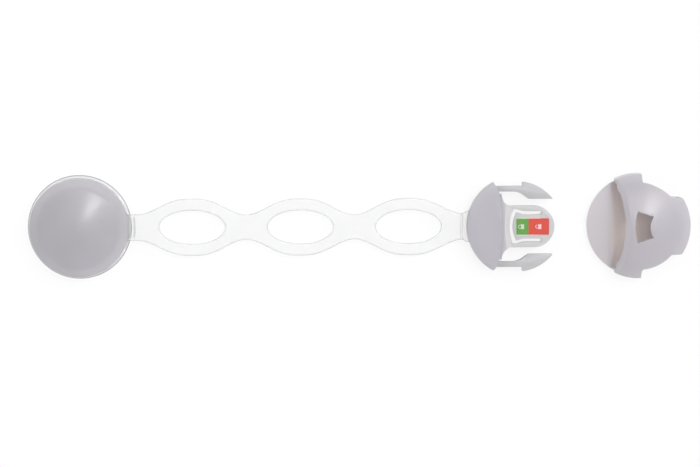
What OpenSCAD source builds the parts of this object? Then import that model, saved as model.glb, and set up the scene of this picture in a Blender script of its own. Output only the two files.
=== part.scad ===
// Cabinet safety lock: a stick-on anchor, a clear strap of three oval links,
// a plug with two sprung arms and an indicator tab, and a stick-on receiver.
// The lock lies on its back: +Z points away from the cabinet, +X along the strap.
// The origin is the centre of the anchor's adhesive face.

/* [Adhesive pads] */
// Thickness of the foam pads
pad_t = 0.8; // [0.5:0.1:1.2]
// How far a pad stays inside the edge of the plate above it
pad_inset = 0.8; // [0.4:0.1:2]

/* [Round housings] */
// Height of the bevelled band above the upright rim
bevel_h = 2.8; // [2.2:0.1:3.6]
// Width of the bevelled band on the cap and on the plug's head
band_w = 3.1; // [2.6:0.1:3.6]
// Height of the shallow cone above the bevelled band
dome_h = 3; // [2:0.1:4]
// Radius that rounds the tip of the cone
tip_round = 5; // [3:0.5:8]
// Radius of the soft edge above the upright rim
rim_round = 0.7; // [0.4:0.1:1]
// Upright rim left above the slot of the strap
rim_over = 1.5; // [1.2:0.1:1.8]
// Wall of the anchor's cap
cap_wall = 1.6; // [1.2:0.1:2]

/* [Anchor] */
// Radius of the clear disc under the cap
disc_r = 20.3; // [20:0.1:22]
// Thickness of the clear disc
disc_t = 1.6; // [1.2:0.1:2]
// How far the disc shows round the cap
disc_show = 0.6; // [0.4:0.1:1]
// How far the lug stands out of the disc
lug_reach = 0.8; // [0.5:0.1:1.5]
// Height of the ring that the cap snaps round
snap_ring_h = 1.6; // [1:0.1:1.8]
// Width of the wall of that ring
snap_ring_w = 1.6; // [1:0.1:2.4]

/* [Strap] */
// Thickness of the strap
strap_t = 1.8; // [1.4:0.1:2]
// Distance from one oval to the next
oval_pitch = 42.1; // [38:0.1:48]
// Distance from the anchor's fold line to the first oval's centre
strap_lead = 22.9; // [20:0.1:26]
// Distance from the last oval's centre to the plug's fold line
strap_trail = 20.7; // [19:0.1:24]
// Half the width of the strap beside an oval
strap_half_w = 11.2; // [10.5:0.1:13]
// Half the width of the strap at a neck
neck_half_w = 4.9; // [4:0.1:5.2]
// Half the width of the strap at its two ends
end_half_w = 5.2; // [4.6:0.1:5.4]
// Half the length of an oval opening
oval_a = 12.7; // [11:0.1:14]
// Half the width of an oval opening
oval_b = 6.5; // [5.5:0.1:7.5]
// Distance from the hinge line to the cut face beyond it
fold_trim = 0.7; // [0.6:0.05:0.9]
// Clearance round the rounded end at a bending line
fold_gap = 0.1; // [0.05:0.01:0.15]

/* [Plug] */
// Radius of the plug's head
head_r = 19.6; // [19:0.1:20.2]
// Depth of the head from its edge to its front face
head_depth = 10.3; // [9.8:0.1:10.6]
// How far the front face leans forward at the top
head_lean = 3.6; // [3:0.1:3.8]
// Distance from the plug's fold line to the edge of the head
tail_reach = 2; // [1.5:0.1:3]
// How much the strap widens on each side where it enters the head
tail_flare = 1; // [0.5:0.1:1.4]
// Thickness of the plate that closes the head from below
plate_t = 0.8; // [0.6:0.1:1]
// Radius of the post that holds the strap's eye
post_r = 2; // [1.6:0.1:2.2]
// Width of the strap beyond the eye
eye_wall = 1.3; // [1:0.1:1.5]
// Wall of the head in front of the strap's end
tail_wall = 0.9; // [0.8:0.1:1.2]
// Length of the tongue from the front face to its round end
tongue_len = 23.7; // [23:0.1:24.5]
// Half the width of the tongue
tongue_half_w = 8.1; // [7.8:0.1:8.4]
// Thickness of the tongue
tongue_t = 3; // [2.6:0.1:3.2]
// Length of the curves that widen the tongue at its root
root_len = 3.7; // [2.6:0.1:3.8]
// How far those curves widen it on each side
root_w = 4.6; // [3.8:0.1:4.8]
// Distance from the front face to the foot of the ramp
ramp_reach = 6.8; // [6.4:0.1:7]
// Length of the ramp that joins the head to the tongue
ramp_run = 3; // [2.5:0.1:3.2]

/* [Release arms] */
// Height of the arms
arm_h = 3.3; // [2.8:0.1:3.4]
// Thickness of the arms across the plug
arm_w = 2.1; // [1.8:0.1:2.2]
// Distance from the corner of the head in to the middle of an arm
arm_inset = 2.5; // [2.4:0.05:2.7]
// Depth of an arm's round root behind the front face
arm_depth = 0.6; // [0.4:0.1:0.7]
// Distance from the front face to the catching face of a barb
barb_reach = 11.2; // [11:0.1:11.5]
// How far a barb stands out past the ear that it catches behind
barb_catch = 1.15; // [0.8:0.05:1.25]
// How far a barb stands in past its arm
barb_depth = 2.9; // [2.7:0.1:3]
// Clearance between an arm and the slot it swings in
arm_gap = 0.4; // [0.3:0.05:0.5]
// Clearance between an arm's round root and its seat
root_gap = 0.08; // [0.05:0.01:0.1]

/* [Indicator] */
// Distance from the front face to the root of the tab
tab_reach = 18.6; // [18.2:0.1:19]
// Length of the tab
tab_len = 11.1; // [10.9:0.1:11.3]
// How far the tab's free end bows out
tab_bow = 1.5; // [1.2:0.1:1.8]
// How much the tab widens on each side at its free end
tab_flare = 0.8; // [0.6:0.1:0.9]
// Length of that wider stretch past the bowed end
flare_len = 2.5; // [2:0.1:3]
// Thickness of the tab
tab_t = 1.8; // [1.6:0.1:2]
// Width of the slot round the tab
slot_w = 1.25; // [1.1:0.05:1.35]
// Width of the tongue beside the slot
tongue_rim = 2.05; // [1.8:0.05:2.2]
// Clearance at the tab's rounded root
tab_gap = 0.1; // [0.08:0.01:0.12]
// Distance from the tab's free end to the green label
label_lead = 1.4; // [1.2:0.1:1.8]
// Length of the green label
green_len = 4.7; // [4.5:0.1:4.8]
// Length of the red label
red_len = 7.9; // [7.5:0.1:8]
// Half the width of the labels
label_half_w = 3.1; // [3:0.1:3.4]
// Thickness of the labels
label_t = 0.15; // [0.1:0.01:0.18]
// Depth of the recess under the red label, past the tab's root
label_recess = 0.4; // [0.35:0.05:0.5]

/* [Receiver] */
// Distance that the receiver stands off the plug when it is open
pull_out = 47.2; // [36:0.1:60]
// How far the landing plate stands out past the plug's head
landing_over = 0.1; // [0:0.05:0.3]
// Thickness of the landing plate
landing_t = 1.6; // [1.4:0.1:2]
// Thickness of the floor inside the mouth
floor_t = 0.7; // [0.6:0.1:0.8]
// Length of the slope from the landing plate to the floor
floor_slope = 2.2; // [0.8:0.1:2.6]
// How far the cover stands out past the plug's head
cover_over = 0.8; // [0.6:0.1:1.2]
// Width of the bevelled band on the cover
cover_band_w = 3.6; // [3.4:0.1:3.8]
// Share of the cone's radius that stays plain inside the cover's soft shoulder
cover_cone_share = 0.8; // [0.79:0.01:0.92]
// Share of the cover's band that the soft shoulder takes
cover_band_share = 0.62; // [0.25:0.01:0.7]
// Thickness of the cover's roof
roof_t = 1.5; // [1.4:0.1:1.9]
// How much more the mouth leans than the front face of the head
mouth_lean_more = 2; // [0.6:0.1:2.2]
// Width of the low part of the cavity round its high part
cavity_edge = 3.6; // [3.3:0.1:4]
// Thickness of the ears that the barbs catch behind
ear_t = 3; // [2.5:0.1:4]
// Chamfer in the corner between an ear and the roof
ear_chamfer = 1; // [0.6:0.1:1.4]
// Half the width of the rear tab between the notches
rear_tab_half_w = 11.1; // [10.6:0.1:11.4]
// Radius of the rear tab's corners
rear_tab_round = 1.6; // [1:0.1:2]
// Length of the window along its slanted sides
window_len = 6.2; // [5.8:0.1:6.6]
// Half the width of the window at the mouth's end
window_half_w = 6.15; // [5.8:0.05:6.4]
// Half the width of the window at its rear end
window_back_half_w = 4.05; // [3.8:0.05:4.4]
// How far the window's front edge bows out
window_bow = 1.2; // [1:0.1:1.4]
// How far its rear edge bows in
window_back_bow = 1.4; // [1.2:0.1:1.6]

/* [Clearances] */
// Height of the plug above the landing plate
glide_gap = 0.3; // [0.25:0.05:0.4]
// Clearance between pieces that are fixed to each other
fit_gap = 0.1; // [0.05:0.01:0.15]
// Gap between the head and the mouth when the plug is in
mouth_gap = 0.4; // [0.3:0.1:0.6]
// Gap between an arm and the side of the mouth
side_gap = 0.6; // [0.5:0.05:0.8]
// Play between a barb and the ear that it catches behind
barb_play = 0.8; // [0.5:0.1:1]
// Gap between the tongue's end and the back of the mouth
tip_gap = 1.2; // [0.8:0.1:1.5]
// How far the window opens in front of the tab's free end
window_gap = 0.3; // [0.2:0.1:0.5]

/* [Hidden] */

$fn = 96;
// Steps of one soft edge and of one cone
edge_steps = 4;
cone_steps = 9;
// Steps along the outline of one link
link_steps = 36;
// Points of one oval
oval_steps = 56;
// Overrun of every cut
over = 1;

// Heights, all above the adhesive faces
landing_top = pad_t + landing_t;
floor_top = pad_t + floor_t;
plate_z = landing_top + glide_gap;
strap_z = plate_z + plate_t + fit_gap;
strap_mid = strap_z + strap_t / 2;
strap_top = strap_z + strap_t;
rim_top = strap_top + fit_gap + rim_over;
shoulder_z = rim_top + bevel_h;
top_z = shoulder_z + dome_h;
arm_z = strap_z;
arm_top = arm_z + arm_h;
tongue_z = arm_top - tongue_t;
roof_under = arm_top + arm_gap;
tab_axis_z = arm_top - tab_t / 2;

// Radii of the round housings
cap_r = disc_r - disc_show;
cap_shoulder_r = cap_r - band_w;
head_shoulder_r = head_r - band_w;
cover_r = head_r + cover_over;
cover_shoulder_r = cover_r - cover_band_w;
landing_r = head_r + landing_over;

// Places on the plug, measured from the centre of its head
front_x = head_depth - head_r;
ramp_x = front_x + ramp_reach;
tongue_x = front_x + tongue_len;
tab_root_x = front_x + tab_reach;
tab_axis_x = tab_root_x - tab_t / 2;
tab_mid_x = tab_root_x - tab_len;
tab_corner_x = tab_mid_x + tab_bow;
slot_mid_x = tab_mid_x - slot_w;
slot_corner_x = tab_corner_x - slot_w;
flare_end_x = tab_corner_x + flare_len;
tab_half_w = tongue_half_w - tongue_rim - slot_w;
tab_end_half_w = tab_half_w + tab_flare;
green_x = tab_mid_x + label_lead;
spigot_half_w = tongue_half_w + root_w;
arm_root_x = front_x - arm_depth;
arm_y = sqrt(head_r * head_r - front_x * front_x) - arm_inset;
barb_back_x = front_x + barb_reach;
barb_inner_y = arm_y - arm_w / 2 - barb_depth;
tail_end_x = front_x - tail_wall - fit_gap;
eye_x = tail_end_x - eye_wall - post_r - fit_gap;
tail_end_half_w = post_r + fit_gap + eye_wall;

// Places on the receiver, which shares the head's centre when the plug is in
mouth_x = front_x + mouth_gap;
mouth_lean = head_lean + mouth_lean_more;
mouth_half_w = arm_y + arm_w / 2 + side_gap;
mouth_end_x = tongue_x + tip_gap;
cavity_r = cover_shoulder_r - cavity_edge;
barb_r = mouth_half_w + barb_catch;
ear_end_x = barb_back_x - barb_play;
window_mid_x = tab_mid_x - window_gap;
window_corner_x = window_mid_x + window_bow;
window_back_x = window_corner_x + window_len;
window_back_mid_x = window_back_x - window_back_bow;

// Places along the strap
disc_top = pad_t + disc_t;
fold_1_x = disc_r + lug_reach;
oval_1_x = fold_1_x + strap_lead;
neck_1_x = oval_1_x + oval_pitch / 2;
oval_2_x = oval_1_x + oval_pitch;
neck_2_x = oval_2_x + oval_pitch / 2;
oval_3_x = oval_2_x + oval_pitch;
fold_2_x = oval_3_x + strap_trail;
plug_x = fold_2_x + tail_reach + head_r;
receiver_x = plug_x + pull_out;

// The strap's outline swells from neck to oval along a warped cosine
swell_power = 1.31;
function swell(u) = (1 + cos(180 * pow(min(1, u), swell_power))) / 2;
function lerp(a, b, t) = a + (b - a) * t;
function bend(a, b, c, t) = lerp(lerp(a, b, t), lerp(b, c, t), t);
function arc(r, from, to, steps) =
    [for (i = [0:steps]) r * [cos(lerp(from, to, i / steps)), sin(lerp(from, to, i / steps))]];
function mirrored(points) =
    concat(points, [for (i = [len(points) - 1:-1:0]) [points[i][0], -points[i][1]]]);

// Height of a shallow cone with a rounded tip, at radius r
function cone_z(r, base_r) =
    top_z - dome_h * (sqrt(r * r + tip_round * tip_round) - tip_round)
        / (sqrt(base_r * base_r + tip_round * tip_round) - tip_round);

// Side profile of a round housing: upright rim, bevelled band, shallow cone.
// The shoulder between the last two is rounded over a share of each.
plain_cone_share = 0.92;
plain_band_share = 0.25;
function housing_profile(r, shoulder, foot, cone_share, band_share) =
    let (rim = [r, rim_top], crease = [shoulder, shoulder_z],
        soft_r = shoulder * cone_share,
        soft = [soft_r, cone_z(soft_r, shoulder)],
        past_rim = lerp(rim, crease, rim_round / norm(rim - crease)),
        band_end = lerp(crease, rim, band_share))
    concat([[0, foot], [r, foot]],
        [for (i = [0:edge_steps]) bend([r, rim_top - rim_round], rim, past_rim, i / edge_steps)],
        [for (i = [0:edge_steps]) bend(band_end, crease, soft, i / edge_steps)],
        [for (i = [cone_steps - 1:-1:0]) [soft_r * i / cone_steps, cone_z(soft_r * i / cone_steps, shoulder)]]);

// A solid round housing of outer radius r, standing at height foot
module housing(r, shoulder, foot, cone_share = plain_cone_share, band_share = plain_band_share) {
    rotate_extrude() polygon(housing_profile(r, shoulder, foot, cone_share, band_share));
}

// The space inside a housing whose wall is thick millimetres
module hollow(r, shoulder, foot, thick, cone_share = plain_cone_share, band_share = plain_band_share) {
    intersection() {
        translate([0, 0, -thick]) housing(r - thick, shoulder - thick / 2, foot - over, cone_share, band_share);
        translate([0, 0, foot - over]) cylinder(r = r, h = top_z);
    }
}

// Everything behind a front face that is upright up to the rim and leans above it
module behind_front(x, lean, y_half) {
    rotate([90, 0, 0]) linear_extrude(2 * y_half, center = true)
        polygon([[-cover_r - over, 0], [x, 0], [x, rim_top],
            [x + lean, top_z], [x + lean, top_z + over], [-cover_r - over, top_z + over]]);
}

// Outline of the strap from x0 to x1 round an oval centred at cx.
// The half widths at the two ends of the swell are w0 and w1.
function strap_half(x, cx, w0, w1) =
    let (w = x < cx ? w0 : w1, u = abs(x - cx) / (oval_pitch / 2))
    lerp(w, strap_half_w, swell(u));
module strap_slab(x0, x1, cx, w0, w1) {
    translate([0, 0, strap_z]) linear_extrude(strap_t)
        difference() {
            polygon(mirrored([for (i = [0:link_steps])
                let (x = lerp(x0, x1, i / link_steps)) [x, strap_half(x, cx, w0, w1)]]));
            polygon([for (i = [0:oval_steps - 1])
                [cx + oval_a * cos(360 * i / oval_steps), oval_b * sin(360 * i / oval_steps)]]);
        }
}

// A round bar across the strap at a bending line
module fold_bar(x, r, half_w) {
    translate([x, 0, strap_mid]) rotate([90, 0, 0]) cylinder(r = r, h = 2 * half_w, center = true);
}

// One link: hollowed at its first bending line, rounded at its second
module strap_link(x0, x1, cx, w0, w1) {
    color([0.93, 0.96, 0.93, 0.5])
        difference() {
            union() {
                strap_slab(x0 + fold_trim, x1, cx, w0, w1);
                fold_bar(x1, strap_t / 2, w1);
            }
            fold_bar(x0, strap_t / 2 + fold_gap, strap_half_w);
        }
}

module anchor_pad() {
    color("white") cylinder(r = disc_r - pad_inset, h = pad_t);
}

// Clear disc with the ring that the cap snaps round and the lug of the strap
module anchor_disc() {
    ring_r = cap_r - cap_wall - fit_gap;
    color([0.93, 0.96, 0.93, 0.6])
        union() {
            translate([0, 0, pad_t]) cylinder(r = disc_r, h = disc_t);
            translate([0, 0, pad_t]) difference() {
                cylinder(r = ring_r, h = disc_t + snap_ring_h);
                translate([0, 0, disc_t]) cylinder(r = ring_r - snap_ring_w, h = snap_ring_h + over);
            }
            translate([ring_r - snap_ring_w, -end_half_w, pad_t])
                cube([disc_r - ring_r + snap_ring_w - pad_inset / 2, 2 * end_half_w, strap_top - pad_t]);
            translate([ring_r, -end_half_w, strap_z]) cube([fold_1_x - ring_r, 2 * end_half_w, strap_t]);
            fold_bar(fold_1_x, strap_t / 2, end_half_w);
        }
}

// Round cap, with the slot in its rim that the lug leaves by
module anchor_cap() {
    slot_half = end_half_w + fit_gap;
    color("#BAB7BE")
        difference() {
            housing(cap_r, cap_shoulder_r, disc_top);
            hollow(cap_r, cap_shoulder_r, disc_top, cap_wall);
            translate([0, -slot_half, disc_top - over])
                cube([cap_r + over, 2 * slot_half, strap_top + fit_gap - disc_top + over]);
        }
}

module strap_link_1() { strap_link(fold_1_x, neck_1_x, oval_1_x, end_half_w, neck_half_w); }
module strap_link_2() { strap_link(neck_1_x, neck_2_x, oval_2_x, neck_half_w, neck_half_w); }
module strap_link_3() { strap_link(neck_2_x, fold_2_x, oval_3_x, neck_half_w, end_half_w); }

// The end of the strap inside the plug, with the eye that hangs on the post
module strap_tail() {
    color([0.93, 0.96, 0.93, 0.5])
        translate([plug_x, 0, 0])
            difference() {
                translate([0, 0, strap_z]) linear_extrude(strap_t)
                    polygon(mirrored(concat([[-head_r - tail_reach + fold_trim, end_half_w],
                        [-head_r, end_half_w + tail_flare], [eye_x - tail_end_half_w, end_half_w + tail_flare]],
                        [for (p = arc(tail_end_half_w, 80, 0, 2 * edge_steps)) p + [eye_x, 0]])));
                translate([eye_x, 0, 0]) cylinder(r = post_r + fit_gap, h = top_z);
                translate([-plug_x, 0, 0]) fold_bar(fold_2_x, strap_t / 2 + fold_gap, strap_half_w);
            }
}

// Outline of the tongue, with a hollow curve on each side of its root and a round end
module tongue_outline() {
    root = [for (p = arc(1, 180, 270, 2 * edge_steps))
        [ramp_x + root_len * p[0], spigot_half_w + root_w * p[1]]];
    round_end = [for (p = arc(tongue_half_w, 90, 0, 3 * edge_steps)) p + [tongue_x - tongue_half_w, 0]];
    polygon(mirrored(concat([[front_x - over, spigot_half_w]], root, round_end)));
}

// Bowed end shared by the slot, the free end of the tab and the window
function bowed_end(mid_x, corner_x, half) =
    [for (i = [-edge_steps:edge_steps])
        let (u = -i / edge_steps) [lerp(mid_x, corner_x, u * u), half * u]];

// The slot goes round the tab on three sides
module slot_outline() {
    side = tab_half_w + slot_w;
    flare = tab_end_half_w + slot_w;
    polygon(concat([[flare_end_x, side], [tab_corner_x, flare]],
        bowed_end(slot_mid_x, slot_corner_x, flare),
        [[tab_corner_x, -flare], [flare_end_x, -side], [tab_root_x, -side], [tab_root_x, -tab_half_w],
            [tab_axis_x, -tab_half_w], [tab_axis_x, tab_half_w],
            [tab_root_x, tab_half_w], [tab_root_x, side]]));
}

// A round bar at the tab's bending line
module tab_bar(r, half_w) {
    translate([tab_axis_x, 0, tab_axis_z])
        rotate([90, 0, 0]) cylinder(r = r, h = 2 * half_w, center = true);
}

// Head, spigot and tongue of the plug
module plug_head() {
    shell_z = plate_z + plate_t;
    tail_half = end_half_w + tail_flare + fit_gap;
    color("#BCB9C0")
        translate([plug_x, 0, 0])
            difference() {
                union() {
                    // Head
                    intersection() {
                        housing(head_r, head_shoulder_r, shell_z);
                        behind_front(front_x, head_lean, cover_r);
                    }
                    // Spigot that ends in the ramp, a little inside the cover's cavity
                    intersection() {
                        hollow(head_r, head_shoulder_r, shell_z, roof_t + arm_gap);
                        translate([0, 0, shell_z]) linear_extrude(top_z) tongue_outline();
                        rotate([90, 0, 0]) linear_extrude(2 * cover_r, center = true)
                            polygon([[front_x - over, tongue_z], [ramp_x, tongue_z], [ramp_x, arm_top],
                                [ramp_x - ramp_run, top_z - roof_t - arm_gap],
                                [ramp_x - ramp_run, top_z], [front_x - over, top_z]]);
                    }
                    translate([0, 0, tongue_z]) linear_extrude(tongue_t) tongue_outline();
                }
                // Pocket of the strap's tail
                translate([-head_r - over, -tail_half, shell_z - over])
                    cube([head_r + over + front_x - tail_wall, 2 * tail_half,
                        strap_top + fit_gap - shell_z + over]);
                // Seats of the two arms
                for (side = [-1, 1])
                    translate([arm_root_x, side * arm_y, shell_z - over]) {
                        cylinder(r = arm_w / 2 + root_gap, h = arm_top + fit_gap - shell_z + over);
                        translate([0, side > 0 ? -arm_w / 2 - arm_gap : -arm_w / 2 - root_gap, 0])
                            cube([head_lean + over, arm_w + arm_gap + root_gap,
                                arm_top + fit_gap - shell_z + over]);
                    }
                // Slot round the tab, and the shallow recess under the red label
                linear_extrude(top_z) slot_outline();
                tab_bar(tab_t / 2 + tab_gap, tab_half_w);
                translate([tab_axis_x, -label_half_w - fit_gap, arm_top - label_recess])
                    cube([green_x + green_len + red_len + fit_gap - tab_axis_x,
                        2 * (label_half_w + fit_gap), label_recess + over]);
            }
}

// Plate that closes the head from below, with the post for the strap's eye
module plug_plate() {
    color("#B4B1B8")
        translate([plug_x, 0, plate_z]) {
            intersection() {
                cylinder(r = head_r, h = plate_t);
                translate([-head_r, -head_r, 0]) cube([head_depth, 2 * head_r, plate_t]);
            }
            translate([eye_x, 0, 0]) cylinder(r = post_r, h = plate_t + fit_gap + strap_t);
        }
}

// One sprung arm with its barb; side is 1 on the left and -1 on the right.
// Behind the barb the inner face slants back to the arm in three shares of its depth.
slant_shares = [0.83, 0.33, 0.2];
// Angle that blunts the barb's tip
tip_blunt = 1;
module release_arm(side) {
    inner = arm_y - arm_w / 2;
    outer = arm_y + arm_w / 2;
    hook_angle = acos(barb_back_x / barb_r);
    tip_angle = asin(barb_inner_y / barb_r) + tip_blunt;
    color("#C6C4CA")
        translate([plug_x, 0, arm_z]) mirror([0, side > 0 ? 0 : 1, 0]) {
            linear_extrude(arm_h) polygon(concat(
                [[arm_root_x, inner], [arm_root_x, outer], [barb_back_x, outer]],
                arc(barb_r, hook_angle, tip_angle, 3 * edge_steps),
                [[barb_r * cos(tip_angle), barb_inner_y],
                    [barb_back_x + barb_depth * slant_shares[0], barb_inner_y],
                    [barb_back_x - barb_depth * slant_shares[1], inner - barb_depth * slant_shares[2]],
                    [barb_back_x - barb_depth, inner]]));
            translate([arm_root_x, arm_y, 0]) cylinder(r = arm_w / 2, h = arm_h);
        }
}
module release_arm_left() { release_arm(1); }
module release_arm_right() { release_arm(-1); }

// Flap inside the slot of the tongue
module indicator_tab() {
    color("#C6C4CA")
        translate([plug_x, 0, 0]) {
            translate([0, 0, tab_axis_z - tab_t / 2]) linear_extrude(tab_t)
                polygon(concat([[flare_end_x, tab_half_w - fit_gap]],
                    bowed_end(tab_mid_x, tab_corner_x, tab_end_half_w),
                    [[flare_end_x, fit_gap - tab_half_w], [tab_axis_x, fit_gap - tab_half_w],
                        [tab_axis_x, tab_half_w - fit_gap]]));
            tab_bar(tab_t / 2, tab_half_w - fit_gap);
        }
}

// Thin labels on the tab, green towards the head and red towards the tip
module label(x, len, tint) {
    color(tint)
        translate([plug_x + x, -label_half_w, arm_top]) cube([len, 2 * label_half_w, label_t]);
}
module label_green() { label(green_x, green_len, "#6AA84F"); }
module label_red() { label(green_x + green_len, red_len, "#E05042"); }

// The notch on each side of the receiver, from the ear's end face to the rear tab.
// Its inner wall follows a circle of radius r, and chamfer fills its corner at the ear.
module notches(r, chamfer) {
    for (side = [-1, 1])
        mirror([0, side > 0 ? 0 : 1, 0])
            difference() {
                polygon([[ear_end_x, cover_r + over], [ear_end_x, r + chamfer],
                    [ear_end_x + chamfer, r - chamfer], [ear_end_x + chamfer, rear_tab_half_w],
                    [cover_r + over, rear_tab_half_w],
                    [cover_r + over, cover_r + over]]);
                circle(r = r);
            }
}

// What is cut off to round the outer corners of a rear tab on a disc of radius r
module rear_corners(r) {
    y = rear_tab_half_w - rear_tab_round;
    x = sqrt(pow(r - rear_tab_round, 2) - y * y);
    reach = (r + over) / (r - rear_tab_round);
    for (side = [-1, 1])
        mirror([0, side > 0 ? 0 : 1, 0])
            difference() {
                polygon([[x, y], [x, rear_tab_half_w + over], [x + 2 * over, rear_tab_half_w + over],
                    [x * reach, y * reach]]);
                translate([x, y]) circle(r = rear_tab_round);
            }
}

module receiver_pad() {
    color("white")
        translate([receiver_x, 0, 0])
            difference() {
                cylinder(r = landing_r - pad_inset, h = pad_t);
                translate([0, 0, -over]) linear_extrude(landing_top + 2 * over) {
                    notches(cover_shoulder_r - pad_inset, 0);
                    rear_corners(landing_r - pad_inset);
                }
            }
}

// Landing plate, with the lower floor inside the mouth
module receiver_base() {
    color("#CDC7CB")
        translate([receiver_x, 0, 0])
            difference() {
                translate([0, 0, pad_t]) cylinder(r = landing_r, h = landing_t);
                linear_extrude(landing_top + over) {
                    notches(cover_shoulder_r, 0);
                    rear_corners(landing_r);
                }
                rotate([90, 0, 0]) linear_extrude(2 * mouth_half_w, center = true)
                    polygon([[mouth_x - floor_slope, landing_top + over], [mouth_x - floor_slope, landing_top],
                        [mouth_x, floor_top], [mouth_end_x, floor_top], [mouth_end_x, landing_top + over]]);
            }
}

// Window over the indicator: bowed out towards the mouth, bowed in at the rear
module window_outline() {
    back = bowed_end(window_back_mid_x, window_back_x, window_back_half_w);
    polygon(concat(bowed_end(window_mid_x, window_corner_x, window_half_w),
        [for (i = [len(back) - 1:-1:0]) back[i]]));
}

module receiver_cover() {
    skirt_z = pad_t + fit_gap;
    color("#C8C4CA")
        translate([receiver_x, 0, 0])
            difference() {
                housing(cover_r, cover_shoulder_r, skirt_z, cover_cone_share, cover_band_share);
                // Seat of the landing plate inside the skirt
                translate([0, 0, -over]) cylinder(r = landing_r + fit_gap, h = landing_top + over);
                behind_front(mouth_x, mouth_lean, cover_r + over);
                // Mouth, and the higher cavity under the cone, which is as wide as the mouth in front
                translate([-cover_r, -mouth_half_w, 0])
                    cube([cover_r + mouth_end_x, 2 * mouth_half_w, roof_under]);
                // Way out of the barbs under the roof's edge
                translate([ear_end_x, -cover_r, 0])
                    cube([mouth_end_x - ear_end_x, 2 * cover_r, roof_under]);
                intersection() {
                    hollow(cover_r, cover_shoulder_r, landing_top, roof_t, cover_cone_share, cover_band_share);
                    translate([0, 0, roof_under - over]) {
                        cylinder(r = cavity_r, h = top_z);
                        translate([-cover_r, -mouth_half_w, 0])
                            cube([cover_r + ear_end_x - ear_t, 2 * mouth_half_w, top_z]);
                    }
                }
                linear_extrude(roof_under) notches(cover_shoulder_r, 0);
                linear_extrude(top_z + over) {
                    notches(cover_shoulder_r, ear_chamfer);
                    rear_corners(cover_r);
                    window_outline();
                }
            }
}

anchor_pad();
anchor_disc();
anchor_cap();
strap_link_1();
strap_link_2();
strap_link_3();
strap_tail();
plug_head();
plug_plate();
release_arm_left();
release_arm_right();
indicator_tab();
label_green();
label_red();
receiver_pad();
receiver_base();
receiver_cover();
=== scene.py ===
import math

import bmesh
import bpy
from mathutils import Matrix, Vector


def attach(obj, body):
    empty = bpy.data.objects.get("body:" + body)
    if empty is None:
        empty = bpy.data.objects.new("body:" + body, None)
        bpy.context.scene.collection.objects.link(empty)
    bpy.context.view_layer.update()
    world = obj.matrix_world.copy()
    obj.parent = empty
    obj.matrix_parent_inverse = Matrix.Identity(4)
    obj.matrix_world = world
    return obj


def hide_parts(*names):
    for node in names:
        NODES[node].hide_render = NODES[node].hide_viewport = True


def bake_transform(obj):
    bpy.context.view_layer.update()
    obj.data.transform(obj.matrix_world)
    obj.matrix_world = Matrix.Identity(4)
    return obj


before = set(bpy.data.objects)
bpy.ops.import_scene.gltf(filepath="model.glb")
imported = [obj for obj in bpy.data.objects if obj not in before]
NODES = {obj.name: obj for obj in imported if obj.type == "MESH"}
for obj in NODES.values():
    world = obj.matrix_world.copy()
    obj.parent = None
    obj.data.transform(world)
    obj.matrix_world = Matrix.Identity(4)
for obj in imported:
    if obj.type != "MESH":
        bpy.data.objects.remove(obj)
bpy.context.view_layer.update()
MM = 0.001

# Sizes of the solids, in millimetres
DISC_R = 20.3
DISC_LOW, DISC_TOP = 0.8, 2.4
LUG_HALF_W = 5.1
STRAP_LOW, STRAP_TOP = 3.6, 5.4
STRAP_THICK = STRAP_TOP - STRAP_LOW
OVAL_X = (44.0, 86.1, 128.2)
OVAL_A, OVAL_B = 12.7, 6.5
PITCH = 42.1
HALF_W, NECK_HALF_W, END_HALF_W = 11.2, 4.9, 5.2
SWELL_POWER = 1.31
FOLD_1, NECK_1, NECK_2, FOLD_2 = 21.1, 65.05, 107.15, 148.9
PLUG_X, RECEIVER_X = 170.5, 217.7
HEAD_R = 19.6
HEAD_FRONT_X = PLUG_X - 9.3
RIM_TOP, LEAN, LEAN_H = 7.0, 3.6, 5.8
TONGUE_TOP = 6.9
LANDING_TOP, MOUTH_FLOOR_TOP = 2.4, 1.5
LABEL_TOP = 7.05
GREEN_X, RED_X, RED_END, LABEL_HALF = 170.1, 174.8, 182.7, 3.1

# Rounding of the solids' sharp edges in millimetres, the mesh's angles in degrees,
# and the share of its width that the anchor's cap is drawn at
SHELL_EDGE, TAB_EDGE, COVER_EDGE = 0.25, 0.15, 0.35
BEVEL_STEPS, BEVEL_ANGLE = 2, 32
FLAT_ANGLE, SHELL_CREASE = 0.6, 40
WELD = 0.002
CAP_TRIM = 0.975

# Where the plug's own shades change along the strap to the painted light of its tongue, and where the
# receiver's floor changes near its mouth to the painted warm shade inside it
NECK_CHANGE = PLUG_X - 6.6, PLUG_X - 5.2
MOUTH_CHANGE = RECEIVER_X - 11.6, RECEIVER_X - 8.0
MOUTH_SPOT, MOUTH_NEAR, MOUTH_FAR = (RECEIVER_X - 12, 0, 2), 18.0, 20.5

# A face of the mouth's slope or floor, where the warm shade is painted, looks up, and has its middle near
# the axis and between two heights
UPWARDS, NEAR_AXIS = 0.9, 5
MOUTH_HEIGHTS = MOUTH_FLOOR_TOP - 0.1, LANDING_TOP - 0.02

# The strap's ends, its flare at the plug, and a reach on each side of a fold and of a neck
STRAP_START, STRAP_END = 18.6, 158.0
FLARE, FLARE_RUN, FLARE_POWER = 1.0, 1.9, 1.6
FOLD_REACH, NECK_REACH = 1.6, 5.0

# The groove round the anchor and the double line at the plug: place, half width and depth
GROOVE_R, GROOVE_HALF_W, GROOVE_DEPTH = 21.6, 0.42, 0.85
GROOVE_HALF_LENGTH = 4.3
LINE_X, LINE_HALF_W, LINE_DEPTH = (148.55, 149.25), 0.22, 0.35

# The strap's rounded edges, and the steps of its mesh
EDGE_R, EDGE_STEPS = 0.8, 4
ACROSS = 5
OVAL_STEPS = 16
PLAIN_STEP, PLAIN_GAP = 0.9, 0.15
LINE_STEP, LINE_STEPS = 0.1, 6
STRAP_CREASE = 60
TINY = 1e-6

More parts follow.
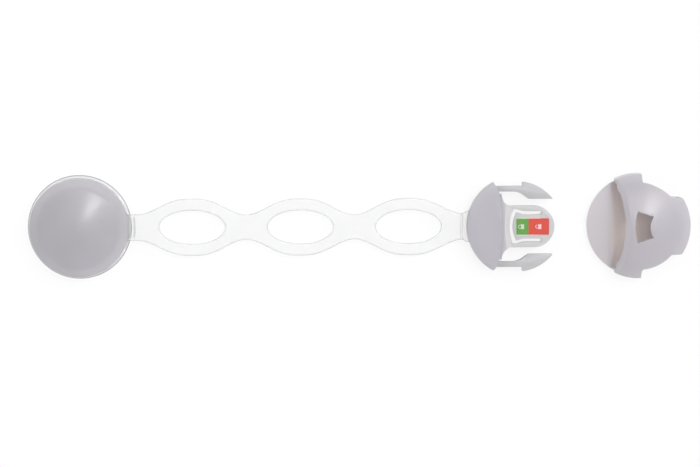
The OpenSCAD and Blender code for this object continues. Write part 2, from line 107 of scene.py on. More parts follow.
# The clear disc's drafted wall and inner ring, and the lug on it
TURN_STEPS = 128
DISC_FOOT, DISC_DRAFT, DISC_BEVEL = 0.2, 0.38, 0.1
RING_IN, RING_OUT, RING_TOP = 16.0, 17.5, 4.0
LUG_X, LUG_SINK, LUG_GAP = (17.4, 19.9), 0.1, 0.02
LUG_EDGE, LUG_STEPS = 0.3, 3
DISC_CREASE = 50

# The labels' borders and padlock signs; a sign's places are from its own middle
BORDER_W, BORDER_GAP = 0.42, 0.12
TAB_BORDER_END, TONGUE_BORDER_START = 179.1, 179.35
BORDER_LOW, BORDER_TOP = LABEL_TOP - 0.12, LABEL_TOP - 0.02
TONGUE_BORDER_LOW, TONGUE_BORDER_TOP = TONGUE_TOP - 0.05, TONGUE_TOP + 0.03
SIGN_LOW, SIGN_TOP = LABEL_TOP - 0.02, LABEL_TOP + 0.06
CLOSED_SIGN_X, OPEN_SIGN_X = GREEN_X + 1.65, RED_X + 3.65
LOCK_START, LOCK_END, LOCK_HALF_W = 0.1, 1.35, 0.95
SHACKLE_X, SHACKLE_IN, SHACKLE_OUT = -0.25, 0.5, 0.76
SHACKLE_STEPS, SHACKLE_LIFT = 12, 0.05

# Camera: its roll is in degrees, and what is nearer to it than CLIP_START, in metres, doesn't show
CAMERA_PLACE, CAMERA_TARGET, CAMERA_ROLL = (94.0, 87.0, 940.8), (105.4, -2.6, 5.0), -0.15
SENSOR_W, LENS, CLIP_START = 36, 124.15, 0.05

# Lamps: name, place, target and size in millimetres, power in watts, and spread in degrees
LAMP_COLOUR = (1.0, 0.99, 0.985)
LAMPS = [
    ("key", (172, 345, 1100), (-40, 0, 0), (205, 190), 0.077, 30),
    ("side", (900, 640, 900), (150, 0, 0), (320, 320), 1.3, 180),
    ("low", (621, 318, 1100), (240, 0, 0), (200, 190), 0.078, 30),
]

# Light from all round: its shade by height and by side, and below the horizon
SKY_STRENGTH = 1.83
SKY_BY_HEIGHT = [
    (0.0, (0.93, 0.93, 0.93)),
    (0.3, (0.67, 0.67, 0.68)),
    (0.6, (0.45, 0.45, 0.46)),
    (1.0, (0.27, 0.27, 0.28)),
]
SKY_BY_SIDE = [(0.0, (0.4, 0.39, 0.38)), (1.0, (1.0, 1.0, 1.0))]
BRIGHT_SIDE, SIDE_RANGE = (0.6, 0.8, 0), (-0.7, 0.3)
OVERHEAD_RANGE = (0.4, 0.75)
SKY_BELOW = (0.6, 0.6, 0.6, 1)
WHITE = (1, 1, 1, 1)

# Floor, in metres: the share of a straight look that passes it, its glow in a straight look and in
# a reflected or bent one, and its shade as it lights the object and in a reflected or bent look
FLOOR_HALF, FLOOR_Z = 3.0, -0.0001
FLOOR_PASS = 0.8
FLOOR_GLOW_SEEN, FLOOR_GLOW_BENT = 0.12, 0.81
FLOOR_SHADES = [(0.0, (0.86, 0.86, 0.86)), (1.0, (0.2, 0.2, 0.2))]


# Node helpers

def new_material(name):
    material = bpy.data.materials.new(name)
    material.use_nodes = True
    tree = material.node_tree
    shader = next(n for n in tree.nodes if n.type == "BSDF_PRINCIPLED")
    return material, tree, shader


def add(tree, kind, **values):
    """A new node, with its settings and the values of its inputs by name."""
    node = tree.nodes.new(kind)
    for key, value in values.items():
        if hasattr(node, key):
            setattr(node, key, value)
        else:
            node.inputs[key].default_value = value
    return node


def set_inputs(node, values):
    for key, value in values.items():
        node.inputs[key].default_value = value


def noise(tree, scale, detail, stretch=(1, 1, 1)):
    """Noise in object space, so that it stays on the piece."""
    place = add(tree, "ShaderNodeTexCoord")
    mapping = add(tree, "ShaderNodeMapping", Scale=stretch)
    texture = add(tree, "ShaderNodeTexNoise", Scale=scale, Detail=detail)
    tree.links.new(place.outputs["Object"], mapping.inputs["Vector"])
    tree.links.new(mapping.outputs["Vector"], texture.inputs["Vector"])
    return texture.outputs["Fac"]


def ramp(tree, source, stops):
    """Colour ramp whose stops are (place, colour)."""
    node = add(tree, "ShaderNodeValToRGB")
    while len(node.color_ramp.elements) < len(stops):
        node.color_ramp.elements.new(1.0)
    for element, (place, colour) in zip(node.color_ramp.elements, stops):
        element.position = place
        element.color = (*colour, 1.0)
    tree.links.new(source, node.inputs["Fac"])
    return node.outputs["Color"]


def mottled(tree, source, shades, share):
    """Two shades, which blend over the middle share of the source."""
    return ramp(tree, source, [(0.5 - share / 2, shades[0]), (0.5 + share / 2, shades[1])])


def mapped(tree, source, start, end, at_start=0.0, at_end=1.0):
    """A value that goes evenly from at_start to at_end while the source goes from start to end,
    and no further."""
    node = add(tree, "ShaderNodeMapRange")
    set_inputs(node, {"From Min": start, "From Max": end, "To Min": at_start, "To Max": at_end})
    tree.links.new(source, node.inputs["Value"])
    return node.outputs["Result"]


def mixed(tree, factor, first, second, blend="MIX"):
    """Two colours mixed by a factor. Each of the three is a socket or a value."""
    node = add(tree, "ShaderNodeMix", data_type="RGBA", blend_type=blend)
    sockets = {item.identifier: item for item in (*node.inputs, *node.outputs)}
    if isinstance(factor, float):
        sockets["Factor_Float"].default_value = factor
    else:
        tree.links.new(factor, sockets["Factor_Float"])
    for key, colour in (("A_Color", first), ("B_Color", second)):
        if isinstance(colour, tuple):
            sockets[key].default_value = colour
        else:
            tree.links.new(colour, sockets[key])
    return sockets["Result_Color"]


def maths(tree, operation, *values):
    """A sum on sockets and numbers."""
    node = add(tree, "ShaderNodeMath", operation=operation)
    for socket, value in zip(node.inputs, values):
        if isinstance(value, float):
            socket.default_value = value
        else:
            tree.links.new(value, socket)
    return node.outputs[0]


def bump(tree, shader, height, strength, depth):
    """Relief whose depth is in millimetres."""
    node = add(tree, "ShaderNodeBump", Strength=strength, Distance=depth * MM)
    tree.links.new(height, node.inputs["Height"])
    tree.links.new(node.outputs["Normal"], shader.inputs["Normal"])


def along_x(tree, start, end):
    """0 before start and 1 after end, both in millimetres along the strap."""
    place = add(tree, "ShaderNodeTexCoord")
    split = add(tree, "ShaderNodeSeparateXYZ")
    tree.links.new(place.outputs["Object"], split.inputs["Vector"])
    return mapped(tree, split.outputs["X"], start * MM, end * MM)


def near_spot(tree, spot, near, far):
    """1 up to near and 0 from far on, measured in millimetres from the spot."""
    place = add(tree, "ShaderNodeTexCoord")
    gap = add(tree, "ShaderNodeVectorMath", operation="DISTANCE")
    tree.links.new(place.outputs["Object"], gap.inputs[0])
    gap.inputs[1].default_value = [value * MM for value in spot]
    return mapped(tree, gap.outputs["Value"], far * MM, near * MM)


def seen_rays(tree):
    """Two marks of a ray: it comes straight from the camera, or by way of a gloss or a clear piece."""
    rays = add(tree, "ShaderNodeLightPath").outputs
    return rays["Is Camera Ray"], maths(tree, "MAXIMUM", rays["Is Glossy Ray"], rays["Is Transmission Ray"])


def blended(tree, share, first, second):
    """Two shaders blended by a share of the second."""
    node = add(tree, "ShaderNodeMixShader")
    for socket, source in zip(node.inputs, (share, first, second)):
        tree.links.new(source, socket)
    return node.outputs[0]


def linear(red, green, blue):
    """A colour as it is seen on the screen, 0 to 255, in linear light."""
    def one(value):
        value /= 255
        return value / 12.92 if value <= 0.04045 else ((value + 0.055) / 1.055) ** 2.4
    return one(red), one(green), one(blue)


# Materials

def moulded(name, shades, roughness, coat, beyond=None, within=None):
    """Satin moulded plastic: slow drift between two near shades and a very fine grain.
    beyond = (start, end, shades) changes to two other shades along the strap,
    and within = (spot, near, far) keeps that change near a spot."""
    material, tree, shader = new_material(name)
    drift = noise(tree, scale=38.0, detail=2.0)
    colour = mottled(tree, drift, shades, share=0.36)
    if beyond:
        start, end, far_shades = beyond
        far = mottled(tree, drift, far_shades, share=0.36)
        changed = mixed(tree, along_x(tree, start, end), colour, far)
        colour = mixed(tree, near_spot(tree, *within), colour, changed) if within else changed
    tree.links.new(colour, shader.inputs["Base Color"])
    set_inputs(shader, {"Roughness": roughness, "IOR": 1.48, "Coat Weight": coat, "Coat Roughness": 0.18})
    bump(tree, shader, noise(tree, scale=2600.0, detail=2.0), strength=0.08, depth=0.04)
    return material


def clear(name, face, edge, face_alpha, edge_alpha, start=0.03, end=0.4):
    """Clear moulding: nearly unseen face on, with a painted grey where the surface turns away, which stands
    for the dark reflections at its edges.
    The change runs from start to end, where 0 is face on and 1 is edge on."""
    material, tree, shader = new_material(name)
    turn = add(tree, "ShaderNodeLayerWeight", Blend=0.5).outputs["Facing"]
    tree.links.new(ramp(tree, turn, [(start, face), (end, edge)]), shader.inputs["Base Color"])
    tree.links.new(mapped(tree, turn, start, end, face_alpha, edge_alpha), shader.inputs["Alpha"])
    set_inputs(shader, {"Roughness": 0.16, "IOR": 1.45})
    flow = noise(tree, scale=160.0, detail=2.0, stretch=(0.4, 1, 1))
    bump(tree, shader, flow, strength=0.12, depth=0.2)
    return material


def foam(name, low, high):
    """Foam tape: fine cells between two near whites, without gloss."""
    material, tree, shader = new_material(name)
    place = add(tree, "ShaderNodeTexCoord")
    cells = add(tree, "ShaderNodeTexVoronoi", Scale=2400.0)
    tree.links.new(place.outputs["Object"], cells.inputs["Vector"])
    from_middle = cells.outputs["Distance"]
    tree.links.new(ramp(tree, from_middle, [(0.0, low), (0.6, high)]), shader.inputs["Base Color"])
    set_inputs(shader, {"Roughness": 0.9})
    bump(tree, shader, from_middle, strength=0.5, depth=0.08)
    return material


def print_ink(name, low, high):
    """Printed label: a flat ink with slight mottling and a film's gloss."""
    material, tree, shader = new_material(name)
    mottle = noise(tree, scale=900.0, detail=3.0)
    tree.links.new(mottled(tree, mottle, (low, high), share=0.3), shader.inputs["Base Color"])
    set_inputs(shader, {"Roughness": 0.38, "Coat Weight": 0.25, "Coat Roughness": 0.12})
    bump(tree, shader, mottle, strength=0.05, depth=0.03)
    return material


HEAD_SHADES = linear(189, 187, 193), linear(197, 195, 201)
# Painted light: the tongue's shades are the plug's plastic drawn lighter, as light falls on its flat top and
# on the ramp up to the head
TONGUE_PAINTED_LIGHT_SHADES = linear(211, 210, 211), linear(217, 216, 217)
LANDING_SHADES = linear(213, 208, 212), linear(219, 214, 218)
# Painted shade: the warm brownish tone of the shade inside the receiver's mouth, put on the floor there
MOUTH_PAINTED_SHADE_TONES = linear(233, 221, 214), linear(239, 227, 220)

SHELL = moulded("shell_lilac", (linear(177, 174, 179), linear(185, 182, 188)), roughness=0.32, coat=0.15)
HEAD = moulded("head_lilac", HEAD_SHADES, roughness=0.52, coat=0.02)
# Painted light: the ramp and the tongue in front of the head go over to the lighter tongue shades along the
# strap
NECK = moulded("neck_painted_light_blend", HEAD_SHADES, roughness=0.5, coat=0.02, beyond=(*NECK_CHANGE, TONGUE_PAINTED_LIGHT_SHADES))
ARM = moulded("arm_grey", (linear(196, 196, 197), linear(203, 202, 204)), roughness=0.48, coat=0.04)
# Painted light: the tab on the tongue takes the same lighter shades
TONGUE = moulded("tongue_painted_light", TONGUE_PAINTED_LIGHT_SHADES, roughness=0.5, coat=0.02)
COVER = moulded("cover_grey", (linear(187, 183, 189), linear(194, 190, 196)), roughness=0.33, coat=0.14)
LANDING = moulded("landing_grey", LANDING_SHADES, roughness=0.44, coat=0.05)
# Painted shade: the landing plate's floor under the roof goes over to the warm shade tones near the mouth
MOUTH_PAINTED_SHADE = moulded("mouth_painted_warm_shade", LANDING_SHADES, roughness=0.5, coat=0.02,
                beyond=(*MOUTH_CHANGE, MOUTH_PAINTED_SHADE_TONES), within=(MOUTH_SPOT, MOUTH_NEAR, MOUTH_FAR))
PAD = foam("pad_foam", linear(226, 226, 223), linear(244, 244, 242))
# Painted reflection: the grey edge shades of the clear pieces, the disc's dark enough to draw its grey
# outline
STRAP = clear("strap_clear", linear(247, 250, 247), linear(219, 221, 219), face_alpha=0.17, edge_alpha=0.62)
DISC = clear("disc_clear", linear(253, 252, 254), linear(150, 151, 154), face_alpha=0.85, edge_alpha=0.95,
             start=0.25, end=0.6)
# Painted light: the lug's edges are a paler grey than the disc's, so that the shade under the strap shows
# lighter
LUG = clear("lug_clear", linear(253, 252, 254), linear(232, 232, 234), face_alpha=0.85, edge_alpha=0.95,
            end=0.9)
GREEN = print_ink("ink_green", linear(103, 166, 75), linear(110, 172, 82))
RED = print_ink("ink_red", linear(224, 80, 66), linear(230, 86, 72))
GREEN_PALE = print_ink("ink_green_pale", linear(208, 226, 196), linear(216, 232, 205))
RED_PALE = print_ink("ink_red_pale", linear(244, 203, 200), linear(250, 211, 208))


# Piece helpers

def link(name, mesh, material):
    piece = bpy.data.objects.new(name, mesh)
    bpy.context.scene.collection.objects.link(piece)
    piece.data.materials.clear()
    piece.data.materials.append(material)
    return piece


def smooth_by_angle(mesh, angle):
    """Smooth shading with creases kept sharp above the angle in degrees."""
    work = bmesh.new()
    work.from_mesh(mesh)
    for face in work.faces:
        face.smooth = True
    for edge in work.edges:
        edge.smooth = len(edge.link_faces) == 2 and edge.calc_face_angle(0) < math.radians(angle)
    work.to_mesh(mesh)
    work.free()


def finished(name, work, material, crease=None):
    """The worked mesh as a piece, shaded flat, or smoothly with creases kept sharp above an angle."""
    mesh = bpy.data.meshes.new(name)
    work.to_mesh(mesh)
    work.free()
    if crease:
        smooth_by_angle(mesh, crease)
    return link(name, mesh, material)


def apply_modifiers(piece):
    graph = bpy.context.evaluated_depsgraph_get()
    done = bpy.data.meshes.new_from_object(piece.evaluated_get(graph))
    piece.modifiers.clear()
    old = piece.data
    piece.data = done
    bpy.data.meshes.remove(old)


# Pieces that keep the solids' shapes

def softened(node, body, material, width, beyond=None, trim=1.0):
    """A copy of a CAD node with its sharp edges rounded, which stands for it.
    trim draws a piece round the origin's axis a little smaller across.
    beyond = (test, material) gives the faces that pass the test another material."""
    mesh = NODES[node].data.copy()
    mesh.transform(Matrix.Diagonal((trim, trim, 1, 1)))
    work = bmesh.new()
    work.from_mesh(mesh)
    bmesh.ops.remove_doubles(work, verts=work.verts, dist=WELD * MM)
    bmesh.ops.dissolve_limit(work, angle_limit=math.radians(FLAT_ANGLE), verts=work.verts, edges=work.edges)
    work.to_mesh(mesh)
    work.free()
    piece = link(node + "_soft", mesh, material)
    cut = piece.modifiers.new("soft_edges", "BEVEL")
    cut.width = width * MM
    cut.segments = BEVEL_STEPS
    cut.limit_method = "ANGLE"
    cut.angle_limit = math.radians(BEVEL_ANGLE)
    cut.use_clamp_overlap = True
    cut.miter_outer = "MITER_ARC"
    apply_modifiers(piece)
    if beyond:
        test, second = beyond
        piece.data.materials.append(second)
        for face in piece.data.polygons:
            if test(face):
                face.material_index = 1
    smooth_by_angle(piece.data, SHELL_CREASE)
    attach(piece, body)
    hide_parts(node)


def keep(node, material):
    """A CAD node that stays, with its own material."""
    piece = NODES[node]
    piece.data.materials.clear()
    piece.data.materials.append(material)


def before_front(face):
    """Whether a face of the plug lies in front of the head's leaning front face."""
    spot = face.center / MM
    return spot.x > HEAD_FRONT_X + LEAN * max(0, spot.z - RIM_TOP) / LEAN_H + SHELL_EDGE


def on_mouth_floor(face):
    """Whether a face of the landing plate is part of its slope or of the lower floor behind it."""
    spot = face.center / MM
    low, high = MOUTH_HEIGHTS
    return face.normal.z > UPWARDS and abs(spot.y) < NEAR_AXIS and low < spot.z < high


softened("anchor_cap", "anchor", SHELL, SHELL_EDGE, trim=CAP_TRIM)
# Painted light: the plug's faces in front of the head's front take the lighter shades of the tongue
softened("plug_head", "plug", HEAD, SHELL_EDGE, beyond=(before_front, NECK))
softened("release_arm_left", "arm_left", ARM, SHELL_EDGE)
softened("release_arm_right", "arm_right", ARM, SHELL_EDGE)
# Painted light: the tab is drawn in the tongue's lighter shades
softened("indicator_tab", "tab", TONGUE, TAB_EDGE)
softened("receiver_cover", "receiver", COVER, COVER_EDGE)
# Painted shade: the slope and floor inside the mouth take the warm shade tones
softened("receiver_base", "receiver", LANDING, SHELL_EDGE, beyond=(on_mouth_floor, MOUTH_PAINTED_SHADE))
keep("anchor_pad", PAD)
keep("receiver_pad", PAD)
keep("plug_plate", SHELL)
keep("label_green", GREEN)
keep("label_red", RED)


# Clear strap

def nearest_oval(x):
    return min(OVAL_X, key=lambda centre: abs(centre - x))


def swell(share):
    """1 at the middle of an oval, falling to 0 half a pitch away."""
    return (1 + math.cos(math.pi * min(1, share) ** SWELL_POWER)) / 2


def half_width(x):
    """Half the width of the strap at x."""
    centre = nearest_oval(x)
    end = NECK_HALF_W
    if centre == OVAL_X[0] and x < centre or centre == OVAL_X[-1] and x > centre:
        end = END_HALF_W
    width = end + (HALF_W - end) * swell(abs(x - centre) / (PITCH / 2))
    flare_start = PLUG_X - HEAD_R - FLARE_RUN
    if x > flare_start:
        width += FLARE * min(1, (x - flare_start) / FLARE_RUN) ** FLARE_POWER
    return width


def dip(distance, reach, depth):
    """How deep a rounded groove is at this distance from its middle, for its half width and depth."""
    share = abs(distance) / reach
    return depth * (1 + math.cos(math.pi * share)) / 2 if share < 1 else 0.0


def top_height(x, y):
    """Upper face of the strap, with the groove at the anchor and the double line at the plug."""
    height = STRAP_TOP
    if abs(y) < GROOVE_HALF_LENGTH:
        height -= dip(math.hypot(x, y) - GROOVE_R, GROOVE_HALF_W, GROOVE_DEPTH)
    for line in LINE_X:
        height -= dip(x - line, LINE_HALF_W, LINE_DEPTH)
    return height


def columns(start, end):
    """Places along the strap, closer together at the ovals' ends and at the grooves."""
    places = {start, end}
    for centre in OVAL_X:
        for i in range(-OVAL_STEPS, OVAL_STEPS + 1):
            places.add(centre + OVAL_A * math.sin(math.pi / 2 * i / OVAL_STEPS))
    x = start
    while x < end:
        if all(abs(x - centre) > OVAL_A + EDGE_R + PLAIN_GAP for centre in OVAL_X):
            places.add(x)
        x += PLAIN_STEP
    for line in (GROOVE_R, *LINE_X):
        for i in range(-LINE_STEPS, LINE_STEPS + 1):
            places.add(line + LINE_STEP * i)
    return sorted({round(p, 3) for p in places if start <= p <= end})


def outer_edge(x, side):
    """Outer edge of the strap at x, with the direction out of the material."""
    step = 0.01
    slope = (half_width(x + step) - half_width(x - step)) / (2 * step)
    size = math.hypot(slope, 1)
    return Vector((x, side * half_width(x))), Vector((-slope, side)) / size


def oval_edge(x, side):
    """Edge of the oval at x, with the direction out of the material."""
    u = max(-1, min(1, (x - nearest_oval(x)) / OVAL_A))
    v = math.sqrt(1 - u * u)
    normal = Vector((u / OVAL_A, side * v / OVAL_B))
    return Vector((x, side * OVAL_B * v)), -normal.normalized()


def edge_profile():
    """Insets and drops down a rounded edge, from the upper face to the lower."""
    profile = []
    for i in range(EDGE_STEPS + 1):
        turn = math.pi / 2 * i / EDGE_STEPS
        profile.append((EDGE_R * (1 - math.sin(turn)), EDGE_R * (1 - math.cos(turn))))
    return profile + [(inset, STRAP_THICK - drop) for inset, drop in reversed(profile)]


def rounded_edge(work, points):
    """The faces down one real edge. Gives its vertices on the upper face and on the lower."""
    rings = []
    for inset, drop in edge_profile():
        ring = []
        for place, out in points:
            spot = place - out * inset
            high = top_height(spot.x, spot.y)
            z = high - drop * (high - STRAP_LOW) / STRAP_THICK
            ring.append(work.verts.new((spot.x * MM, spot.y * MM, z * MM)))
        rings.append(ring)
    for upper, lower in zip(rings, rings[1:]):
        for i in range(len(points) - 1):
            work.faces.new((upper[i], upper[i + 1], lower[i + 1], lower[i]))
    return rings[0], rings[-1]


def oval_edges(work, xs):
    """The rounded edges of the half ovals of a stretch.
    Gives the upper and the lower vertex at each place and side."""
    found = {}
    for centre in OVAL_X:
        near = [x for x in xs if abs(x - centre) < OVAL_A + TINY]
        if not near:
            continue
        if abs(near[0] - centre) < TINY:
            order = [(x, 1) for x in near] + [(x, -1) for x in reversed(near[:-1])]
        else:
            order = [(x, 1) for x in reversed(near)] + [(x, -1) for x in near[1:]]
        upper, lower = rounded_edge(work, [oval_edge(x, side) for x, side in order])
        for (x, side), high, low in zip(order, upper, lower):
            found[(x, side)] = (high, low)
            if abs(abs(x - centre) - OVAL_A) < TINY:
                found[(x, -side)] = (high, low)
    return found


def strap_piece(name, start, end):
    """One stretch of the strap with rounded edges.
    Its ends stay open, where the next stretch joins it or a housing covers it."""
    work = bmesh.new()
    xs = columns(start, end)
    outside = {side: rounded_edge(work, [outer_edge(x, side) for x in xs]) for side in (1, -1)}
    ovals = oval_edges(work, xs)
    middle = {}
    for layer in (0, 1):
        for side in (1, -1):
            rows = []
            for i, x in enumerate(xs):
                far = outside[side][layer][i]
                if (x, side) in ovals:
                    near = ovals[(x, side)][layer]
                elif (x, layer) in middle:
                    near = middle[(x, layer)]
                else:
                    z = top_height(x, 0) if layer == 0 else STRAP_LOW
                    near = work.verts.new((x * MM, 0, z * MM))
                    middle[(x, layer)] = near
                row = [near]
                for k in range(1, ACROSS):
                    spot = near.co.lerp(far.co, k / ACROSS)
                    if layer == 0:
                        spot.z = top_height(spot.x / MM, spot.y / MM) * MM
                    row.append(work.verts.new(spot))
                rows.append([*row, far])
            for a, b in zip(rows, rows[1:]):
                for k in range(ACROSS):
                    work.faces.new((a[k], b[k], b[k + 1], a[k + 1]))
    bmesh.ops.recalc_face_normals(work, faces=work.faces)
    return finished(name, work, STRAP, STRAP_CREASE)


STRETCHES = [
    ("strap_first", STRAP_START, OVAL_X[0], "anchor", "link_1", FOLD_1, FOLD_REACH, "strap_link_1"),
    ("strap_second", OVAL_X[0], OVAL_X[1], "link_1", "link_2", NECK_1, NECK_REACH, "strap_link_2"),
    ("strap_third", OVAL_X[1], OVAL_X[2], "link_2", "link_3", NECK_2, NECK_REACH, "strap_link_3"),
    ("strap_last", OVAL_X[2], STRAP_END, "link_3", "plug", FOLD_2, FOLD_REACH, "strap_tail"),
]
for name, start, end, before, after, fold, reach, node in STRETCHES:
    piece = strap_piece(name, start, end)
    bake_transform(piece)
    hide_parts(node)


# Clear disc and its lug

def lathe(name, outline, material):
    """A closed form turned round the Z axis from (radius, height) points, from axis to axis."""
    work = bmesh.new()
    turns = [2 * math.pi * i / TURN_STEPS for i in range(TURN_STEPS)]
    rings = []
    for radius, height in outline:
        if radius == 0:
            rings.append([work.verts.new((0, 0, height * MM))] * TURN_STEPS)
        else:
            rings.append([work.verts.new((radius * math.cos(t) * MM, radius * math.sin(t) * MM, height * MM))
                          for t in turns])
    for low, high in zip(rings, rings[1:]):
        for i in range(TURN_STEPS):
            j = (i + 1) % TURN_STEPS
            work.faces.new(list(dict.fromkeys((low[i], low[j], high[j], high[i]))))
    bmesh.ops.recalc_face_normals(work, faces=work.faces)
    return finished(name, work, material, DISC_CREASE)


def disc_outline():
    """The disc with its drafted wall, and the ring that the cap sits round."""
    wall = DISC_R - DISC_DRAFT
    return [(0, DISC_LOW), (DISC_R - DISC_FOOT, DISC_LOW), (DISC_R, DISC_LOW + DISC_FOOT),
            (wall, DISC_TOP - DISC_BEVEL), (wall - DISC_BEVEL, DISC_TOP),
            (RING_OUT, DISC_TOP), (RING_OUT, RING_TOP), (RING_IN, RING_TOP), (RING_IN, DISC_TOP),
            (0, DISC_TOP)]


def lug(name, material):
    """The block on the disc that carries the first stretch of the strap, with its edges rounded."""
    work = bmesh.new()
    grown = bmesh.ops.create_cube(work, size=1.0)
    low = (LUG_X[0], -LUG_HALF_W, DISC_TOP - LUG_SINK)
    high = (LUG_X[1], LUG_HALF_W, STRAP_LOW - LUG_GAP)
    for vert in grown["verts"]:
        for axis in range(3):
            vert.co[axis] = (high[axis] if vert.co[axis] > 0 else low[axis]) * MM
    bmesh.ops.bevel(work, geom=work.edges[:], offset=LUG_EDGE * MM, segments=LUG_STEPS,
                    affect="EDGES", profile=0.5)
    return finished(name, work, material, DISC_CREASE)


disc = lathe("anchor_disc_clear", disc_outline(), DISC)
for piece in (disc, lug("anchor_lug_clear", LUG)):
    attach(piece, "anchor")
    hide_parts("anchor_disc")


# Labels

def plate(name, outlines, low, high, material, body="tab"):
    """Thin flat plate from one or more closed outlines, all in millimetres."""
    work = bmesh.new()
    for outline in outlines:
        ring = [work.verts.new((x * MM, y * MM, low * MM)) for x, y in outline]
        face = work.faces.new(ring)
        grown = bmesh.ops.extrude_face_region(work, geom=[face])
        risen = [v for v in grown["geom"] if isinstance(v, bmesh.types.BMVert)]
        bmesh.ops.translate(work, verts=risen, vec=(0, 0, (high - low) * MM))
    bmesh.ops.recalc_face_normals(work, faces=work.faces)
    piece = finished(name, work, material)
    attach(piece, body)
    return piece


def rectangle(x0, x1, y0, y1):
    return [(x0, y0), (x1, y0), (x1, y1), (x0, y1)]


def padlock(centre, closed):
    """A plain padlock lying on its side, shackle towards the head.
    An open one has one foot of the shackle lifted off its body."""
    foot, bow = centre + LOCK_START, centre + SHACKLE_X
    first_foot = foot if closed else bow - SHACKLE_LIFT
    turns = [math.radians(90 + 180 * i / SHACKLE_STEPS) for i in range(SHACKLE_STEPS + 1)]
    far = [(bow + SHACKLE_OUT * math.cos(t), SHACKLE_OUT * math.sin(t)) for t in turns]
    near = [(bow + SHACKLE_IN * math.cos(t), SHACKLE_IN * math.sin(t)) for t in turns]
    shackle = [(first_foot, SHACKLE_OUT), *far, (foot, -SHACKLE_OUT),
               (foot, -SHACKLE_IN), *reversed(near), (first_foot, SHACKLE_IN)]
    return [rectangle(foot, centre + LOCK_END, -LOCK_HALF_W, LOCK_HALF_W), shackle]


for name, start, end, pale, slot in (
        ("green", GREEN_X, RED_X, GREEN_PALE, "label_green"),
        ("red", RED_X, RED_END, RED_PALE, "label_red")):
    reach = min(end, TAB_BORDER_END)
    sides = [rectangle(start, reach, s * LABEL_HALF, s * (LABEL_HALF + BORDER_W)) for s in (1, -1)]
    border = plate(f"label_{name}_border", sides, BORDER_LOW, BORDER_TOP, pale)
# The rest of the red label's border is printed on the tongue, beside the recess that the label dips into
inner, outer = LABEL_HALF + BORDER_GAP, LABEL_HALF + BORDER_W
tongue_sides = [rectangle(TONGUE_BORDER_START, RED_END + BORDER_GAP, s * inner, s * outer) for s in (1, -1)]
tongue_sides.append(rectangle(RED_END + BORDER_GAP, RED_END + BORDER_W, -outer, outer))
tongue_border = plate("tongue_border", tongue_sides, TONGUE_BORDER_LOW, TONGUE_BORDER_TOP, RED_PALE, "plug")
closed_sign = plate("padlock_closed", padlock(CLOSED_SIGN_X, True), SIGN_LOW, SIGN_TOP, GREEN_PALE)
open_sign = plate("padlock_open", padlock(OPEN_SIGN_X, False), SIGN_LOW, SIGN_TOP, RED_PALE)


# Camera and lamps

def look(name, place, target, roll):
    """A camera that looks from the place at the target, with +Y up in its picture, turned by the roll."""
    obj = bpy.data.objects.new(name, bpy.data.cameras.new(name))
    bpy.context.scene.collection.objects.link(obj)
    obj.location = Vector(place) * MM
    back = (Vector(place) - Vector(target)).normalized()
    right = Vector((0, 1, 0)).cross(back).normalized()
    up = back.cross(right)
    turned = Matrix((right, up, back)).transposed() @ Matrix.Rotation(math.radians(roll), 3, "Z")
    obj.rotation_mode = "QUATERNION"
    obj.rotation_quaternion = turned.to_quaternion()
    return obj


def softbox(name, place, target, size, power, spread):
    lamp = bpy.data.lights.new(name, "AREA")
    lamp.shape = "RECTANGLE"
    lamp.size, lamp.size_y = size[0] * MM, size[1] * MM
    lamp.energy = power
    lamp.spread = math.radians(spread)
    lamp.color = LAMP_COLOUR
    obj = bpy.data.objects.new(name, lamp)
    bpy.context.scene.collection.objects.link(obj)
    obj.location = Vector(place) * MM
    obj.rotation_mode = "QUATERNION"
    obj.rotation_quaternion = (Vector(target) - Vector(place)).to_track_quat("-Z", "Y")


camera = look("camera", CAMERA_PLACE, CAMERA_TARGET, CAMERA_ROLL)
camera.data.sensor_width = SENSOR_W
camera.data.lens = LENS
camera.data.clip_start = CLIP_START
bpy.context.scene.camera = camera
for lamp in LAMPS:
    softbox(*lamp)


# World and floor

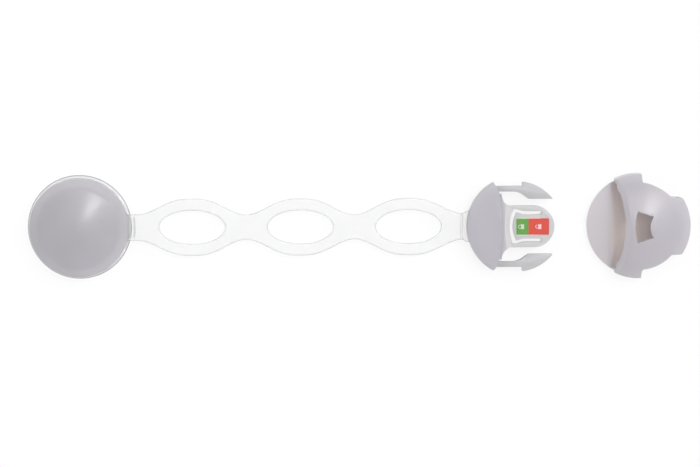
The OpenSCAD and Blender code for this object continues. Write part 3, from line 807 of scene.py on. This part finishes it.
def studio(name):
    """Soft light from all round, dimmer overhead and dimmest there on the side away from BRIGHT_SIDE.
    What is seen of it is plain white, also where a reflection or a clear piece shows what lies below."""
    world = bpy.data.worlds.new(name)
    world.use_nodes = True
    tree = world.node_tree
    place = add(tree, "ShaderNodeTexCoord").outputs["Generated"]
    split = add(tree, "ShaderNodeSeparateXYZ")
    tree.links.new(place, split.inputs["Vector"])
    height = split.outputs["Z"]
    towards = add(tree, "ShaderNodeVectorMath", operation="DOT_PRODUCT")
    tree.links.new(place, towards.inputs[0])
    towards.inputs[1].default_value = BRIGHT_SIDE
    by_height = ramp(tree, height, SKY_BY_HEIGHT)
    by_side = ramp(tree, mapped(tree, towards.outputs["Value"], *SIDE_RANGE), SKY_BY_SIDE)
    darker = mixed(tree, 1.0, by_height, by_side, "MULTIPLY")
    above = mixed(tree, mapped(tree, height, *OVERHEAD_RANGE), by_height, darker)
    below = maths(tree, "LESS_THAN", height, 0.0)
    light = tree.nodes["Background"]
    tree.links.new(mixed(tree, below, above, SKY_BELOW), light.inputs["Color"])
    set_inputs(light, {"Strength": SKY_STRENGTH})
    page = add(tree, "ShaderNodeBackground", Color=WHITE, Strength=1.0)
    camera_ray, bent_ray = seen_rays(tree)
    page_share = maths(tree, "MAXIMUM", camera_ray, maths(tree, "MULTIPLY", bent_ray, below))
    shown = blended(tree, page_share, light.outputs[0], page.outputs[0])
    tree.links.new(shown, tree.nodes["World Output"].inputs["Surface"])
    return world


def floor_white(name):
    """White, with the object's faint shadow. A straight look passes most of it, so that a strap
    that bends below the floor still shows."""
    material, tree, shader = new_material(name)
    set_inputs(shader, {"Roughness": 0.9, "Emission Color": WHITE})
    camera_ray, bent_ray = seen_rays(tree)
    glow = maths(tree, "ADD", maths(tree, "MULTIPLY", bent_ray, FLOOR_GLOW_BENT),
                 maths(tree, "MULTIPLY", camera_ray, FLOOR_GLOW_SEEN))
    tree.links.new(glow, shader.inputs["Emission Strength"])
    shade = mixed(tree, camera_ray, ramp(tree, bent_ray, FLOOR_SHADES), WHITE)
    tree.links.new(shade, shader.inputs["Base Color"])
    through = add(tree, "ShaderNodeBsdfTransparent")
    passing = maths(tree, "MULTIPLY", camera_ray, FLOOR_PASS)
    sheet = blended(tree, passing, shader.outputs[0], through.outputs[0])
    tree.links.new(sheet, tree.nodes["Material Output"].inputs["Surface"])
    return material


bpy.context.scene.world = studio("studio")
floor_mesh = bpy.data.meshes.new("floor")
corners = rectangle(-FLOOR_HALF, FLOOR_HALF, -FLOOR_HALF, FLOOR_HALF)
floor_mesh.from_pydata([(x, y, FLOOR_Z) for x, y in corners], [], [(0, 1, 2, 3)])
floor = link("floor", floor_mesh, floor_white("floor_white"))

bpy.context.scene.view_settings.view_transform = "Standard"
